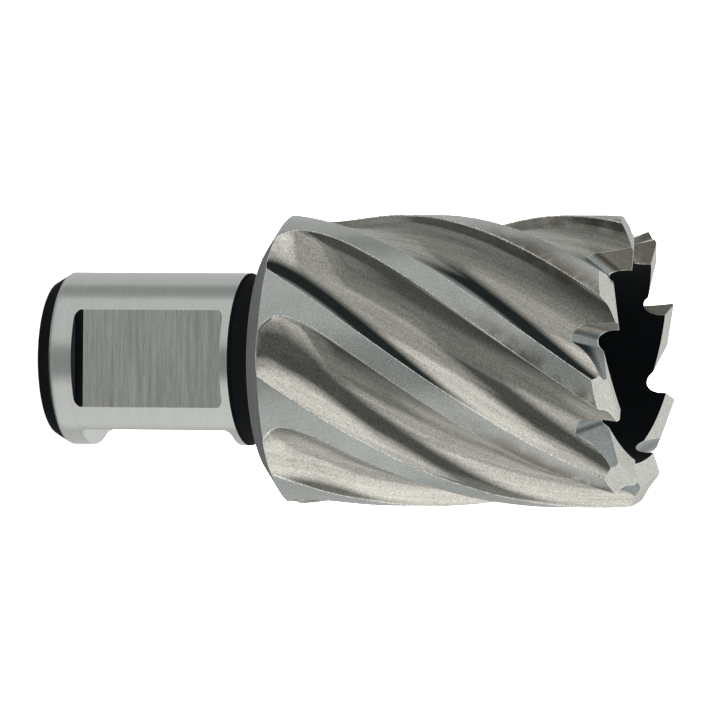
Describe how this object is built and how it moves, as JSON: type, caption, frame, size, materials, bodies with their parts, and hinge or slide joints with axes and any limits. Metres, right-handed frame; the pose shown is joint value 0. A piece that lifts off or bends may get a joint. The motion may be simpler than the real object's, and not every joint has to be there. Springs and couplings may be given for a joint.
{
  "type": "annular cutter",
  "caption": "Annular cutter: a hollow, helically fluted steel head with a ring of teeth on a short shank with clamping flats, for cutting holes with a magnetic drill.",
  "frame": {"origin": "centre of the shank's end face, on which the cutter stands", "axes": "+Z along the cutter's axis from the shank to the teeth, -Y out of the clamping flat that faces the camera, +X out of the other flat"},
  "size_m": [0.032, 0.032, 0.067],
  "materials": {
    "high_speed_steel": "finely ground, with blackened unground surfaces"
  },
  "bodies": {
    "root": {"cutter": "high_speed_steel"}
  },
  "joints": []
}
